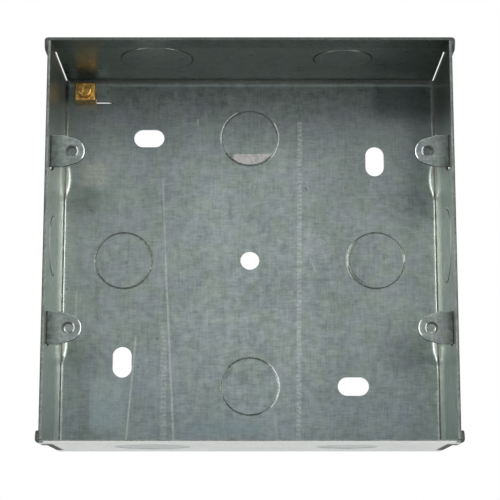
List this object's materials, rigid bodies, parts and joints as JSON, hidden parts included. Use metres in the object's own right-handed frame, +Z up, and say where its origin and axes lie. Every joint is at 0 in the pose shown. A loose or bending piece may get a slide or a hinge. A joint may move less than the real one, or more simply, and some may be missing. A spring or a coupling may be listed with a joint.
{
  "type": "flush back box",
  "caption": "Square flush back box folded from galvanised sheet steel, open at the front, with fixing lugs, knockouts, wall slots and a brass earth terminal.",
  "frame": {"origin": "middle of the underside of the bottom wall, half way between rim and back plate", "axes": "+Z up as fixed in a wall, open front towards -Y, +X to the right seen from the front"},
  "size_m": [0.1392, 0.047, 0.137],
  "materials": {
    "galvanised_steel": "mottled zinc",
    "terminal_brass": "dull",
    "screw_brass": "dull"
  },
  "bodies": {
    "root": {"body": "galvanised_steel", "earth_terminal_block": "terminal_brass", "earth_terminal_screw": "screw_brass"}
  },
  "joints": []
}
